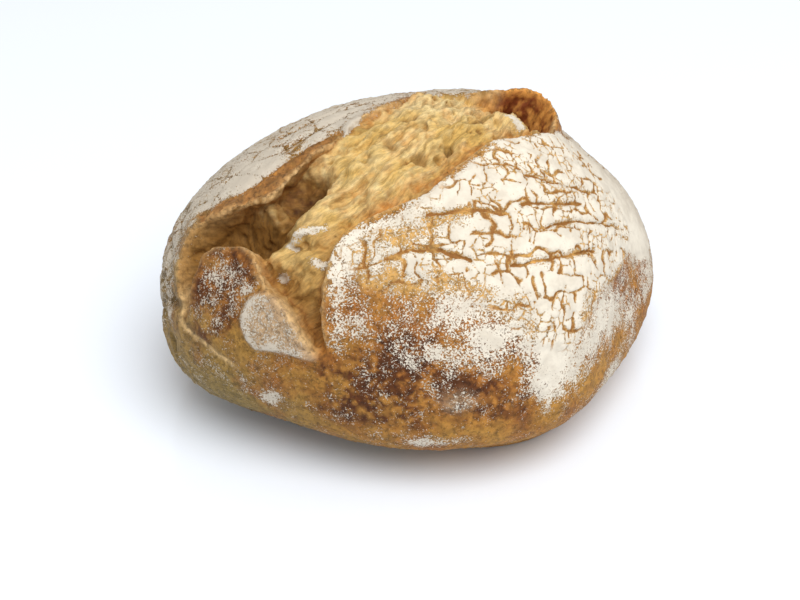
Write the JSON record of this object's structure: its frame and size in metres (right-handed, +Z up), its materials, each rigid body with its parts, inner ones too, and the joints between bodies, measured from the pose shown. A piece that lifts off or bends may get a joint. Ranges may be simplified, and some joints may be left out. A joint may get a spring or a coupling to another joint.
{
  "type": "rye bread loaf",
  "caption": "Round country rye loaf with a deep torn split over its top, a curled ear, folded flaps and a cracked floury crust, flat underneath to rest on a board.",
  "frame": {"origin": "middle of the loaf's box, on the board that it rests on", "axes": "+X along the loaf's long side, to the right when the torn split runs from near left to far right, +Y to the back, +Z up"},
  "size_m": [0.2398, 0.2069, 0.1367],
  "materials": {
    "crust": "matte baked crust dusted with flour"
  },
  "bodies": {
    "root": {"loaf": "crust"}
  },
  "joints": []
}
